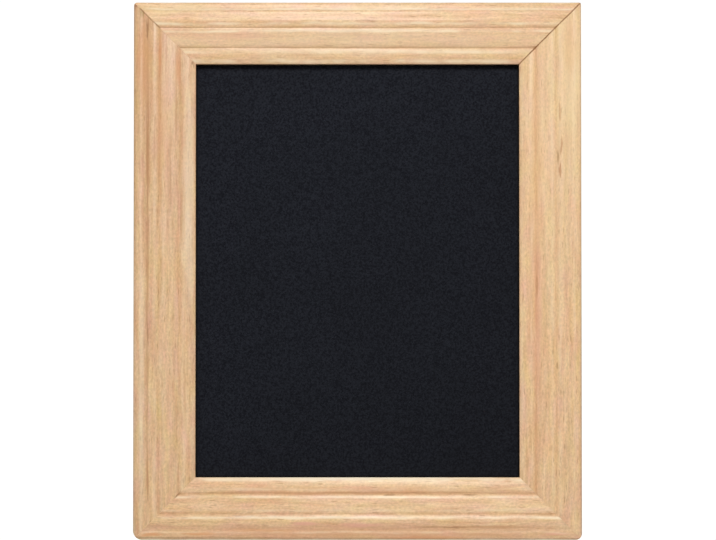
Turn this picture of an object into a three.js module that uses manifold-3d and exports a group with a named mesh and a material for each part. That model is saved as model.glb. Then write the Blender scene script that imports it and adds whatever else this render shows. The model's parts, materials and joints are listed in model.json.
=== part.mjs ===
// A small wall chalkboard: a black writing panel in a mitred frame of moulded wood,
// hung on the wall by two D-rings. Millimetres, X across, Y back towards the wall, Z up.
// The origin is on the wall, midway between the two hooks that the rings go over.

import * as THREE from "three";
import { mergeVertices } from "three/addons/utils/BufferGeometryUtils.js";
import Module from "manifold-3d";

const wasm = await Module();
wasm.setup();

// Overall sizes
const boardWidth = 200;
const boardHeight = 240;
const hooksBelowTop = 36;
const hangerFromSide = 11;
const wallStandoff = 4;

// Moulding section: widths run in from the outer edge, drops run back from the front
const mouldingWidth = 27.8;
const mouldingDepth = 15;
const rebateWidth = 6;
const rebateDepth = 10;
const backArris = 0.4;
const edgeRound = 0.6;
const edgeDrop = 3.4;
const edgeRoundDrop = 2.4;
const beadShoulder = 2.6;
const beadShoulderDrop = 1.45;
const quirk = 4.1;
const quirkDrop = 1.5;
const slopeBend = 5.1;
const slopeBendDrop = 1.22;
const slopeMiddle = 6.2;
const slopeMiddleDrop = 0.78;
const slopeTop = 8.15;
const outerCrest = 9.15;
const outerGroove = { middle: 11.7, half: 0.4, lipDrop: 0.28, depth: 0.46 };
const reedFlatFrom = 14.1;
const reedFlatTo = 17.9;
const innerGroove = { middle: 20.7, half: 0.45, lipDrop: 0.38, depth: 0.6 };
const grooveShoulder = 1.05;
const innerCrest = 23.8;
const sightShoulder = 26;
const sightRound = 0.15;
const sightDrop = 0.72;
const sightArris = 0.2;

// Corners, as sanded on this frame, and the glue line in each mitre
const cornerRounds = { top_right: 1, bottom_right: 3, bottom_left: 4.2, top_left: 1.6 };
const mitreGap = 0.12;

// Writing panel
const panelClearance = 0.75;
const laminateThickness = 0.8;
const coreThickness = 3;
const glueLine = 0.05;
const seatGap = 0.1;

// Steel points that hold the panel in the rebate
const pointWidth = 6;
const pointInWood = 5.5;
const pointOverPanel = 8.5;
const pointThickness = 0.5;
const pointTaper = 2.6;
const pointTipWidth = 1.8;
const pointCorner = 0.8;
const pointSpacing = 62;
const pointsInRail = 2;
const pointsInStile = 3;

// V-nails across the mitres
const nailSheet = 0.6;
const nailWing = 4.4;
const nailFlange = 1.3;
const nailHalfAngle = 40;
const nailFlangeAngle = 78;
const nailHeight = 7;
const nailRecess = 0.4;
const outerNailAt = 5;
const innerNailAt = 12.2;
const kerfClearance = 0.15;

// D-ring hangers
const strapSheet = 0.7;
const strapWidth = 9;
const strapLength = 20.5;
const strapLeafGap = 0.1;
const strapNeckAngle = 40;
const wireRadius = 0.8;
const wireClearance = 0.2;
const ringWidth = 14;
const ringReach = 10.3;
const ringCornerRound = 1.9;
const ringButtGap = 0.4;
const screwFromAxis = 16;
const screwClearance = 0.3;

// Screws
const shankRadius = 1.45;
const screwLength = 10;
const screwPoint = 3;
const headRadius = 2.8;
const headHeight = 1.8;
const recessSpan = 3.2;
const recessSlot = 0.8;
const recessDepth = 1.1;

// Wall bumpers
const bumperRadius = 5;
const bumperEdge = 1.2;
const bumperFromBottom = 30;

// Facets
const curveSteps = 8;
const roundSides = 28;
const wireSides = 10;
const ringSteps = 56;

// How near two corners of a shape are joined, and how far a cutting solid runs past its faces
const weldDistance = 1e-4;
const cutterOverrun = 1;

// Places worked out from the sizes above
const topEdge = hooksBelowTop;
const bottomEdge = topEdge - boardHeight;
const middleHeight = (topEdge + bottomEdge) / 2;
const hangerAcross = boardWidth / 2 - hangerFromSide;
const frameBack = -wallStandoff;
const backFlat = mouldingWidth - rebateWidth;
const laminateFront = rebateDepth - seatGap;
const coreFront = laminateFront - laminateThickness - glueLine;
const coreBack = coreFront - coreThickness;
const pointFront = coreBack - seatGap;
const loopRadius = wireRadius + wireClearance + strapSheet / 2;
const wireHeight = strapSheet / 2 + loopRadius + seatGap;
const leafTop = seatGap + 2 * strapSheet + strapLeafGap;
const ringAxis = wireRadius - ringReach;
const restTilt = Math.asin((leafTop + seatGap + wireRadius - wireHeight) / ringReach);

// Materials
const rubberwood = new THREE.MeshStandardMaterial({ color: 0xe3bf97, roughness: 0.55, metalness: 0 });
const slate = new THREE.MeshStandardMaterial({ color: 0x1e1f24, roughness: 0.8, metalness: 0 });
const fibreboard = new THREE.MeshStandardMaterial({ color: 0x8a6542, roughness: 0.9, metalness: 0 });
const springSteel = new THREE.MeshStandardMaterial({ color: 0x8c8f93, roughness: 0.4, metalness: 1 });
const nickel = new THREE.MeshStandardMaterial({ color: 0xc9c6bd, roughness: 0.3, metalness: 1 });
const bumperRubber = new THREE.MeshStandardMaterial({ color: 0x2a2a2c, roughness: 0.8, metalness: 0 });

// Solids

function solidOf(geometry) {
  const bare = geometry.clone();
  bare.deleteAttribute("normal");
  bare.deleteAttribute("uv");
  const merged = mergeVertices(bare, weldDistance);
  return new wasm.Manifold(
    new wasm.Mesh({
      numProp: 3,
      vertProperties: merged.attributes.position.array,
      triVerts: new Uint32Array(merged.index.array),
    }),
  );
}

function geometryOf(solid) {
  const mesh = solid.getMesh();
  const geometry = new THREE.BufferGeometry();
  geometry.setAttribute("position", new THREE.BufferAttribute(mesh.vertProperties, 3));
  geometry.setIndex(new THREE.BufferAttribute(mesh.triVerts, 1));
  return geometry;
}

function cut(geometry, cutters) {
  return geometryOf(cutters.reduce((kept, cutter) => kept.subtract(solidOf(cutter)), solidOf(geometry)));
}

// A shape drawn in the XZ plane, as seen from behind the board, and thickened along Y.
function plate(shape, fromY, toY) {
  const geometry = new THREE.ExtrudeGeometry(shape, {
    depth: toY - fromY,
    bevelEnabled: false,
    curveSegments: curveSteps,
  });
  geometry.rotateX(Math.PI / 2);
  geometry.translate(0, toY, 0);
  return geometry;
}

// A shape drawn with its x along Y and its y along Z, and run out along X.
function run(shape, length) {
  const geometry = new THREE.ExtrudeGeometry(shape, {
    depth: length,
    bevelEnabled: false,
    curveSegments: curveSteps,
  });
  const alongX = new THREE.Matrix4().makeBasis(
    new THREE.Vector3(0, 1, 0),
    new THREE.Vector3(0, 0, 1),
    new THREE.Vector3(1, 0, 0),
  );
  geometry.applyMatrix4(alongX);
  geometry.translate(-length / 2, 0, 0);
  return geometry;
}

// A bar along Y, centred on the origin.
function roundBar(radius, length) {
  return new THREE.CylinderGeometry(radius, radius, length, roundSides);
}

// The outline of a strip of sheet bent along a line of points, its ends longer by endExtra.
function bentStrip(points, thickness, endExtra = 0) {
  const near = [];
  const far = [];
  const last = points.length - 1;
  points.forEach((point, i) => {
    const before = point.clone().sub(points[Math.max(i - 1, 0)]).normalize();
    const after = points[Math.min(i + 1, last)].clone().sub(point).normalize();
    const along = before.clone().add(after).normalize();
    const across = new THREE.Vector2(-along.y, along.x);
    const half = i === 0 || i === last ? thickness / 2 : thickness / 2 / along.dot(after);
    const longer = { 0: -endExtra, [last]: endExtra }[i] ?? 0;
    const middle = point.clone().addScaledVector(along, longer);
    near.push(middle.clone().addScaledVector(across, half));
    far.unshift(middle.clone().addScaledVector(across, -half));
  });
  return new THREE.Shape([...near, ...far]);
}

// The moulding's section, from the outer edge inwards: an eased edge and a low bead, a quirk,
// a slope up to the outer crest, and a flat reed between two grooves with rounded shoulders.
// The inner crest falls away to the sight edge. The rebate for the panel is behind that.
function mouldingSection() {
  const shape = new THREE.Shape();
  const at = (across, drop) => [drop - mouldingDepth, -across];
  const line = (across, drop) => shape.lineTo(...at(across, drop));
  const curve = (pull, end) => shape.quadraticCurveTo(...at(...pull), ...at(...end));

  function groove({ middle, half, lipDrop, depth }, nextCrest) {
    curve([middle - half - grooveShoulder, 0], [middle - half, lipDrop]);
    line(middle, depth);
    line(middle + half, lipDrop);
    curve([middle + half + grooveShoulder, 0], [nextCrest, 0]);
  }

  shape.moveTo(...at(backArris, mouldingDepth));
  line(0, mouldingDepth - backArris);
  line(0, edgeDrop);
  curve([0, (edgeDrop + edgeRoundDrop) / 2], [edgeRound, edgeRoundDrop]);
  curve([beadShoulder, beadShoulderDrop], [quirk, quirkDrop]);
  curve([slopeBend, slopeBendDrop], [slopeMiddle, slopeMiddleDrop]);
  curve([slopeTop, 0], [outerCrest, 0]);
  groove(outerGroove, reedFlatFrom);
  line(reedFlatTo, 0);
  groove(innerGroove, innerCrest);
  curve([sightShoulder, 0], [mouldingWidth - sightRound, sightDrop]);
  curve([mouldingWidth, sightDrop + sightArris / 3], [mouldingWidth, sightDrop + sightArris]);
  line(mouldingWidth, mouldingDepth - rebateDepth);
  line(backFlat, mouldingDepth - rebateDepth);
  line(backFlat, mouldingDepth);
  return shape;
}

// What the sander took off an outer corner, cornered at the origin, the frame lying to -X and -Z.
function cornerSpandrel(round) {
  const shape = new THREE.Shape();
  shape.moveTo(-round, 0);
  shape.absarc(-round, -round, round, Math.PI / 2, 0, true);
  shape.lineTo(cutterOverrun, -round);
  shape.lineTo(cutterOverrun, cutterOverrun);
  shape.lineTo(-round, cutterOverrun);
  return plate(shape, -mouldingDepth - cutterOverrun, cutterOverrun);
}

// A V-nail's bent line in plan. Its point is on the mitre and faces the outer corner.
function nailLine() {
  const wing = THREE.MathUtils.degToRad(nailHalfAngle);
  const flange = THREE.MathUtils.degToRad(nailFlangeAngle);
  const bend = new THREE.Vector2();
  const knee = new THREE.Vector2(-Math.cos(wing), Math.sin(wing)).multiplyScalar(nailWing);
  const lip = new THREE.Vector2(-Math.cos(flange), Math.sin(flange)).multiplyScalar(nailFlange);
  const tip = knee.clone().add(lip);
  const mirrored = (p) => new THREE.Vector2(p.x, -p.y);
  const square = [tip, knee, bend, mirrored(knee), mirrored(tip)];
  return square.map((p) => p.clone().rotateAround(bend, Math.PI / 4));
}

function nailGeometry(extra) {
  const outline = bentStrip(nailLine(), nailSheet + 2 * extra, extra);
  const back = extra > 0 ? cutterOverrun : -nailRecess;
  return plate(outline, -nailRecess - nailHeight - extra, back);
}

// A panel point, its blade in the wood at +Z and its tail over the panel at -Z.
function pointGeometry(extra) {
  const half = pointWidth / 2 + extra;
  const tip = pointTipWidth / 2 + extra;
  const deep = pointInWood + extra;
  const shape = new THREE.Shape([
    new THREE.Vector2(-half, pointCorner - pointOverPanel),
    new THREE.Vector2(pointCorner - half, -pointOverPanel),
    new THREE.Vector2(half - pointCorner, -pointOverPanel),
    new THREE.Vector2(half, pointCorner - pointOverPanel),
    new THREE.Vector2(half, deep - pointTaper),
    new THREE.Vector2(tip, deep),
    new THREE.Vector2(-tip, deep),
    new THREE.Vector2(-half, deep - pointTaper),
  ]);
  return plate(shape, -pointFront - extra, -pointFront + pointThickness + extra);
}

// One side of the frame, in its own frame: X along it, Z outwards from its outer edge, back at Y 0.
function railGeometry(length, corners, points, screw) {
  const blank = run(mouldingSection(), length);
  const position = blank.attributes.position;
  const setBack = mitreGap / Math.SQRT2;
  for (let i = 0; i < position.count; i++) {
    const inwards = -position.getZ(i);
    const reach = length / 2 - inwards - setBack;
    position.setX(i, Math.sign(position.getX(i)) * reach);
  }
  const cutters = [];
  for (const [end, name] of [[-1, corners[0]], [1, corners[1]]]) {
    const corner = cornerSpandrel(cornerRounds[name]);
    if (end < 0) corner.rotateY(-Math.PI / 2);
    cutters.push(corner.translate((end * length) / 2, 0, 0));
    for (const along of [outerNailAt, innerNailAt]) {
      const kerf = nailGeometry(kerfClearance);
      if (end < 0) kerf.rotateY(-Math.PI / 2);
      cutters.push(kerf.translate(end * (length / 2 - along), 0, -along));
    }
  }
  for (const x of points) cutters.push(pointGeometry(kerfClearance).translate(x, 0, -backFlat));
  if (screw !== undefined) {
    const deep = screwLength - leafTop;
    const pilot = roundBar(shankRadius + kerfClearance, deep + cutterOverrun);
    cutters.push(pilot.translate(screw, (cutterOverrun - deep) / 2, -hangerFromSide));
  }
  return cut(blank, cutters);
}

function add(parent, name, geometry, material, x = 0, y = 0, z = 0) {
  const mesh = new THREE.Mesh(geometry, material);
  mesh.name = name;
  mesh.position.set(x, y, z);
  parent.add(mesh);
  return mesh;
}

// Frame: four mitred sides, each with its panel points and the V-nails of its far corner

const chalkboard = new THREE.Group();
const screwAboveMiddle = ringAxis - screwFromAxis - middleHeight;
const sides = [
  { side: "top", piece: "top_rail", corners: ["top_left", "top_right"] },
  { side: "right", piece: "right_stile", corners: ["top_right", "bottom_right"], screw: -screwAboveMiddle },
  { side: "bottom", piece: "bottom_rail", corners: ["bottom_right", "bottom_left"] },
  { side: "left", piece: "left_stile", corners: ["bottom_left", "top_left"], screw: screwAboveMiddle },
];

sides.forEach(({ side, piece, corners, screw }, turn) => {
  const upright = turn % 2 === 1;
  const length = upright ? boardHeight : boardWidth;
  const outwards = (upright ? boardWidth : boardHeight) / 2;
  const angle = (turn * Math.PI) / 2;
  const placed = new THREE.Group();
  placed.rotation.y = angle;
  placed.position.set(outwards * Math.sin(angle), frameBack, middleHeight + outwards * Math.cos(angle));
  chalkboard.add(placed);

  const points = upright ? pointsInStile : pointsInRail;
  const pointsAt = Array.from({ length: points }, (_, i) => (i - (points - 1) / 2) * pointSpacing);
  add(placed, piece, railGeometry(length, corners, pointsAt, screw), rubberwood);
  pointsAt.forEach((x, i) => {
    add(placed, `panel_point_${side}_${i + 1}`, pointGeometry(0), springSteel, x, 0, -backFlat);
  });
  for (const [place, along] of [["outer", outerNailAt], ["inner", innerNailAt]]) {
    const name = `v_nail_${corners[1]}_${place}`;
    add(placed, name, nailGeometry(0), springSteel, length / 2 - along, 0, -along);
  }
});

// Writing panel: black laminate on a fibreboard core

function sheetGeometry(front, thickness) {
  const width = boardWidth - 2 * (backFlat + panelClearance);
  const height = boardHeight - 2 * (backFlat + panelClearance);
  const sheet = new THREE.BoxGeometry(width, thickness, height);
  return sheet.translate(0, frameBack - front + thickness / 2, middleHeight);
}

add(chalkboard, "writing_surface", sheetGeometry(laminateFront, laminateThickness), slate);
add(chalkboard, "panel_core", sheetGeometry(coreFront, coreThickness), fibreboard);

// Hangers: a strap folded round the ring's straight leg, and one screw through both leaves

function strapGeometry() {
  const inner = seatGap + strapSheet / 2;
  const outer = inner + strapSheet + strapLeafGap;
  const neck = THREE.MathUtils.degToRad(strapNeckAngle);
  const leave = new THREE.Vector2(wireHeight + loopRadius * Math.sin(neck), -loopRadius * Math.cos(neck));
  const drop = leave.x - outer;
  const line = new THREE.Path();
  line.moveTo(inner, -strapLength);
  line.lineTo(inner, 0);
  line.absarc(wireHeight, 0, loopRadius, Math.PI, -Math.PI / 2 + neck, true);
  const foot = leave.y - drop * Math.tan(neck);
  line.quadraticCurveTo(outer, foot, outer, foot - drop);
  line.lineTo(outer, -strapLength);
  const folded = run(bentStrip(line.getPoints(curveSteps * 2), strapSheet), strapWidth);

  const top = wireHeight + loopRadius + strapSheet;
  const plan = new THREE.Shape();
  const half = strapWidth / 2;
  plan.moveTo(half, top);
  plan.lineTo(-half, top);
  plan.absarc(0, half - strapLength, half, Math.PI, 2 * Math.PI, false);
  const blank = plate(plan, -cutterOverrun, top + cutterOverrun);
  const hole = roundBar(shankRadius + screwClearance, 2 * (leafTop + cutterOverrun));
  hole.translate(0, 0, -screwFromAxis);
  return cut(geometryOf(solidOf(folded).intersect(solidOf(blank))), [hole]);
}

// The ring's centre line, from one butted end of the wire round to the other.
function ringLine() {
  const half = ringWidth / 2;
  const turn = ringCornerRound;
  const line = new THREE.Path();
  line.moveTo(ringButtGap / 2, 0);
  line.lineTo(half - turn, 0);
  line.absarc(half - turn, -turn, turn, Math.PI / 2, 0, true);
  line.lineTo(half, half - ringReach);
  line.absarc(0, half - ringReach, half, 0, -Math.PI, true);
  line.lineTo(-half, -turn);
  line.absarc(turn - half, -turn, turn, Math.PI, Math.PI / 2, true);
  line.lineTo(-ringButtGap / 2, 0);
  return line;
}

function ringGeometry() {
  const flat = ringLine().getSpacedPoints(ringSteps);
  const centre = new THREE.CatmullRomCurve3(flat.map((p) => new THREE.Vector3(p.x, 0, p.y)));
  const wire = new THREE.Path().absarc(0, 0, wireRadius, 0, 2 * Math.PI, false);
  const section = new THREE.Shape(wire.getSpacedPoints(wireSides).slice(0, wireSides));
  return new THREE.ExtrudeGeometry(section, {
    steps: ringSteps,
    extrudePath: centre,
    bevelEnabled: false,
  });
}

// A pan-head screw along Y, its head's seat at Y 0 and its point at -Y.
function screwGeometry() {
  const profile = new THREE.Path();
  profile.moveTo(0, -screwLength);
  profile.lineTo(shankRadius, screwPoint - screwLength);
  profile.lineTo(shankRadius, 0);
  profile.lineTo(headRadius, 0);
  profile.lineTo(headRadius, headHeight / 3);
  profile.quadraticCurveTo(headRadius, headHeight, 0, headHeight);
  const turned = new THREE.LatheGeometry(profile.getPoints(curveSteps), roundSides);
  const slots = [0, 1].map((i) => {
    const slot = new THREE.BoxGeometry(recessSpan, 2 * recessDepth, recessSlot);
    return slot.rotateY((i * Math.PI) / 2).translate(0, headHeight, 0);
  });
  return cut(turned, slots);
}

for (const [side, way] of [["left", -1], ["right", 1]]) {
  const hanger = new THREE.Group();
  hanger.position.set(way * hangerAcross, frameBack, ringAxis);
  chalkboard.add(hanger);
  add(hanger, `hanger_strap_${side}`, strapGeometry(), nickel);
  add(hanger, `hanger_screw_${side}`, screwGeometry(), nickel, 0, leafTop + seatGap, -screwFromAxis);
  const ring = add(hanger, `hanging_ring_${side}`, ringGeometry(), nickel, 0, wireHeight, 0);
  ring.rotation.x = restTilt;
}

// Bumpers: domed rubber feet that keep the bottom of the board off the wall

function bumperGeometry() {
  const tall = wallStandoff - seatGap;
  const profile = new THREE.Path();
  profile.moveTo(0, 0);
  profile.lineTo(bumperRadius, 0);
  profile.lineTo(bumperRadius, bumperEdge);
  profile.quadraticCurveTo(bumperRadius, tall, bumperRadius / 2, tall);
  profile.lineTo(0, tall);
  return new THREE.LatheGeometry(profile.getPoints(curveSteps), roundSides);
}

for (const [side, way] of [["left", -1], ["right", 1]]) {
  const across = way * hangerAcross;
  const bumper = add(chalkboard, `wall_bumper_${side}`, bumperGeometry(), bumperRubber);
  bumper.position.set(across, frameBack + seatGap, bottomEdge + bumperFromBottom);
}

export default chalkboard;
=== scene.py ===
"""A small wall chalkboard: a matt black writing panel in a mitred frame of pale reeded wood."""

import json
import math

import bmesh
import bpy
from mathutils import Euler, Matrix, Vector


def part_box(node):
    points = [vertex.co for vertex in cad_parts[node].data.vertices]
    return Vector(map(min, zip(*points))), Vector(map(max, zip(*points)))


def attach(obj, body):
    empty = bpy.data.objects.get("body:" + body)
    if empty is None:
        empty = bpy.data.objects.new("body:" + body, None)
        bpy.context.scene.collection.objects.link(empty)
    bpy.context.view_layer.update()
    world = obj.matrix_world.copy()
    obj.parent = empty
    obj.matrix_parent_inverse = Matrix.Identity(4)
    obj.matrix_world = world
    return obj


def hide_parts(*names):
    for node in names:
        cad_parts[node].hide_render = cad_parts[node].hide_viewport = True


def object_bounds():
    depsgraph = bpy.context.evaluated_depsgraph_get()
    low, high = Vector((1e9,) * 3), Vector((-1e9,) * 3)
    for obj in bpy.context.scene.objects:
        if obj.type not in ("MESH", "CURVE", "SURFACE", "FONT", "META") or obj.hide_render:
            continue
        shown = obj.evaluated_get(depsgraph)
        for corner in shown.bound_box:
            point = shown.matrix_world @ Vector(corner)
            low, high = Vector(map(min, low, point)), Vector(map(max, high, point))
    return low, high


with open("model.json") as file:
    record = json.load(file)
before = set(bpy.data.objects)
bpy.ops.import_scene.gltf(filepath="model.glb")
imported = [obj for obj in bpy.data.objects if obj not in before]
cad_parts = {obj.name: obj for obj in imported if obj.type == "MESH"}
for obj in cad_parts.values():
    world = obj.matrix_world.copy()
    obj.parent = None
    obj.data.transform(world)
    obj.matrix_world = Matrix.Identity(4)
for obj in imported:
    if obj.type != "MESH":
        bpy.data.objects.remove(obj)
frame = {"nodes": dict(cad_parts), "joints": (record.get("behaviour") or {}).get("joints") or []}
cad_low, cad_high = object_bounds()


# The frame's four sides are lengths of one machined moulding: pale rubberwood with a clear satin
# lacquer, reeded on the front, rebated behind, mitred, and sanded together at the corners.

MM = 0.001
ARRIS = 0.12 * MM
SHARP = math.radians(28)
FLAT = math.radians(0.4)
SAME_WAY = 0.99
MERGED_WITHIN = 0.02 * MM

# Across the moulding, in millimetres from its outer edge: the place of each groove line, where finish
# has gathered and painted shade darkens it, and of each crest, sanded pale and painted lighter as a
# highlight;
# how far each spreads and how strong it is
QUIRK = (5.9, 1.2, 0.25)
OUTER_GROOVE = (11.4, 0.8, 0.85)
INNER_GROOVE = (20.55, 0.9, 0.95)
SANDED_AND_LIT_CRESTS = ((0, 0.8, 1), (3.2, 0.7, 1), (9.7, 1.1, 1), (13.2, 0.9, 1), (22.5, 1.2, 1), (26.6, 1.5, 1))
BOTTOM_SANDED_AND_LIT_CRESTS = (
    (0, 0.8, 1), (3.4, 0.9, 0.35), (9.8, 0.9, 0.85), (13.2, 0.9, 0.4), (19.1, 0.8, 0.7),
    (22.5, 1.2, 0.4), (26.8, 1.4, 1),
)
LINE_WOBBLE = 0.45
# How much the grooves are painted darker, for gathered finish and for shade, and the crests paler, for
# sanding and for highlights
GROOVE_STAIN_AND_SHADE = 0.42
CREST_SANDING_AND_HIGHLIGHT = 0.5

# Up through the moulding from its back, in millimetres
BARE_BACK = 0.5
LOWEST_FRONT = 10
MARKED_HEIGHT = 15

# At the moulding's mitred ends, in millimetres
JOINT_WIDTH = 0.6
STAIN_FADE = 0.7
GATHERED_REACH = 2.0
END_GRAIN_DEPTH = 3.2

# How long, wide and deep each kind of mark in the wood and its finish is, in millimetres
SIDEWAYS_DRIFT = (70, 17, 17)
DEEP_DRIFT = (95, 23, 23)
BANDS = (110, 4.5, 4.5)
STREAKS = (19, 1.4, 1.4)
BLUSHES = (30, 2.2, 2.2)
GREENISH_PATCHES = (13, 4, 4)
BLUISH_PATCHES = (15, 4, 4)
BLUISH_APART = (400, 0, 90)
GRIT = (1.3, 0.8, 0.8)
FIBRES = (9, 0.26, 0.26)
VESSELS = (6, 0.6, 0.6)
STAIN_PATCHES = (9, 40, 40)
SANDED_AND_HIGHLIT_DASHES = (10, 6, 40)
LINE_WAVES = (11, 40, 40)
GLUE_BEADS = (30, 3.2, 3.2)
RAGGED_ALONG = (6, 1.1, 1.1)
RAGGED_ACROSS = (9, 0.8, 3)

LACQUER_ROUGHNESS = 0.45
PORE_ROUGHNESS = 0.6
BARE_ROUGHNESS = 0.8
LACQUER_SHEEN = 0.2
LACQUER_SHEEN_ROUGHNESS = 0.28
WOOD_GLOSS = 0.25
OPEN_GRAIN = 0.08 * MM

PALE_WOOD = (0.93, 0.635, 0.382, 1)
WARM_WOOD = (0.76, 0.486, 0.27, 1)
# The sanded colour also paints highlights on the crests, and the stained colour also paints shade in
# the grooves
SANDED_AND_HIGHLIT_WOOD = (0.98, 0.8, 0.555, 1)
RED_WOOD = (0.7, 0.35, 0.2, 1)
PORE_BROWN = (0.38, 0.17, 0.07, 1)
STAIN_AND_SHADE_BROWN = (0.45, 0.22, 0.085, 1)
GLUE_BROWN = (0.3, 0.13, 0.04, 1)
BARE_WOOD = (0.72, 0.55, 0.39, 1)


def plug(tree, sockets, values):
    """Gives sockets, by name or number, each a value or another node's output."""
    for key, value in values.items():
        if isinstance(value, bpy.types.NodeSocket):
            tree.links.new(value, sockets[key])
        else:
            sockets[key].default_value = value


def shader_node(tree, kind, inputs=None, **settings):
    added = tree.nodes.new(kind)
    for key, value in settings.items():
        setattr(added, key, value)
    plug(tree, added.inputs, inputs or {})
    return added


def sums(tree, operation, *values):
    """One step of arithmetic with numbers."""
    inputs = dict(enumerate(values))
    return shader_node(tree, "ShaderNodeMath", inputs, operation=operation).outputs[0]


def vectors(tree, operation, first, second):
    """One step of arithmetic with places or sizes."""
    inputs = {0: first, 1: second}
    return shader_node(tree, "ShaderNodeVectorMath", inputs, operation=operation).outputs[0]


def parts_of(tree, place):
    return shader_node(tree, "ShaderNodeSeparateXYZ", {0: place}).outputs


def rescale(tree, value, low, high, new_low=0.0, new_high=1.0, kind="LINEAR"):
    """Turns low to high into new_low to new_high, and goes no further."""
    inputs = {0: value, 1: low, 2: high, 3: new_low, 4: new_high}
    rescaled = shader_node(tree, "ShaderNodeMapRange", inputs, clamp=True, interpolation_type=kind)
    return rescaled.outputs[0]


def mix(tree, factor, first, second, blend="MIX"):
    inputs = {0: factor, 6: first, 7: second}
    return shader_node(tree, "ShaderNodeMix", inputs, data_type="RGBA", blend_type=blend).outputs[2]


def shaded(tree, colour, brightness):
    """A colour made darker or brighter by a number near one."""
    channels = {0: brightness, 1: brightness, 2: brightness}
    grey = shader_node(tree, "ShaderNodeCombineColor", channels).outputs[0]
    return mix(tree, 1.0, colour, grey, "MULTIPLY")


def blotches(tree, place, lengths, detail=2.0, roughness=0.5):
    """Noise whose blotches are about as long as lengths says in each direction."""
    squeezed = vectors(tree, "MULTIPLY", place, [1 / length for length in lengths])
    inputs = {"Vector": squeezed, "Scale": 1.0, "Detail": detail, "Roughness": roughness}
    return shader_node(tree, "ShaderNodeTexNoise", inputs).outputs["Fac"]


def wandering(tree, place, lengths, low, high, detail=2.0, roughness=0.5):
    """The same noise, wandering between low and high."""
    return rescale(tree, blotches(tree, place, lengths, detail, roughness), 0.2, 0.8, low, high)


def bump(tree, height, strength, distance):
    inputs = {"Strength": strength, "Distance": distance, "Height": height}
    return shader_node(tree, "ShaderNodeBump", inputs).outputs[0]


def new_group(name, inputs, outputs):
    """A node group, as its tree and its named entry and exit sockets."""
    tree = bpy.data.node_groups.new(name, "ShaderNodeTree")
    for socket, kind in inputs.items():
        tree.interface.new_socket(socket, in_out="INPUT", socket_type="NodeSocket" + kind)
    for socket, kind in outputs.items():
        tree.interface.new_socket(socket, in_out="OUTPUT", socket_type="NodeSocket" + kind)
    return tree, tree.nodes.new("NodeGroupInput").outputs, tree.nodes.new("NodeGroupOutput").inputs


def placed_group(tree, group, inputs):
    return shader_node(tree, "ShaderNodeGroup", inputs, node_tree=group).outputs


def new_material(name):
    """A material, its node tree and the sockets of its surface."""
    material = bpy.data.materials.new(name)
    material.use_nodes = True
    tree = material.node_tree
    return material, tree, tree.nodes["Principled BSDF"].inputs


def wood_figure_group():
    """Straight-grained wood in millimetres, the first coordinate running along the grain."""
    tree, entry, exits = new_group(
        "wood_figure",
        {"Place": "Vector", "Pale": "Color", "Warm": "Color", "Red": "Color", "Redness": "Float"},
        {"Color": "Color", "Pores": "Float", "Height": "Float"},
    )
    sideways = wandering(tree, entry["Place"], SIDEWAYS_DRIFT, -1.3, 1.3)
    deep = wandering(tree, entry["Place"], DEEP_DRIFT, -1.8, 1.8)
    drift = shader_node(tree, "ShaderNodeCombineXYZ", {"Y": sideways, "Z": deep}).outputs[0]
    grain = vectors(tree, "ADD", entry["Place"], drift)

    bands = sums(tree, "MULTIPLY", blotches(tree, grain, BANDS), 0.25)
    streaks = sums(tree, "MULTIPLY", blotches(tree, grain, STREAKS, 4.0, 0.62), 0.75)
    tone = rescale(tree, sums(tree, "ADD", bands, streaks), 0.35, 0.65)
    colour = mix(tree, tone, entry["Pale"], entry["Warm"])

    blush = rescale(tree, blotches(tree, grain, BLUSHES, 3.0, 0.6), 0.5, 0.74)
    colour = mix(tree, sums(tree, "MULTIPLY", blush, entry["Redness"]), colour, entry["Red"])
    greenish = wandering(tree, grain, GREENISH_PATCHES, 0.9, 1.1)
    elsewhere = vectors(tree, "ADD", grain, BLUISH_APART)
    bluish = wandering(tree, elsewhere, BLUISH_PATCHES, 0.88, 1.12)
    hue = shader_node(tree, "ShaderNodeCombineColor", {0: 1.0, 1: greenish, 2: bluish}).outputs[0]
    colour = mix(tree, 1.0, colour, hue, "MULTIPLY")

    grit = wandering(tree, grain, GRIT, 0.84, 1.16)
    fibres = blotches(tree, grain, FIBRES, 3.0, 0.65)
    fine = sums(tree, "MULTIPLY", grit, rescale(tree, fibres, 0.25, 0.75, 0.94, 1.05))
    colour = shaded(tree, colour, fine)

    cells = vectors(tree, "MULTIPLY", grain, [1 / length for length in VESSELS])
    vessels = shader_node(tree, "ShaderNodeTexVoronoi", {"Vector": cells, "Scale": 1.0}).outputs
    chosen = shader_node(tree, "ShaderNodeSeparateColor", {0: vessels["Color"]}).outputs[0]
    opening = rescale(tree, vessels["Distance"], 0.18, 0.34, 1.0, 0.0)
    pores = sums(tree, "MULTIPLY", opening, rescale(tree, chosen, 0.55, 0.95))
    colour = mix(tree, sums(tree, "MULTIPLY", pores, 0.55), colour, PORE_BROWN)

    height = sums(tree, "SUBTRACT", sums(tree, "MULTIPLY", fibres, 0.4), pores)
    plug(tree, exits, {"Color": colour, "Pores": pores, "Height": height})
    return tree


def lines_across(tree, across, lines):
    """Soft lines along the moulding, from the place, reach and strength of each."""
    total = 0.0
    for line, reach, strength in lines:
        away = sums(tree, "ABSOLUTE", sums(tree, "SUBTRACT", across, line))
        total = sums(tree, "ADD", total, rescale(tree, away, 0, reach, strength, 0, "SMOOTHSTEP"))
    return total


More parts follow.
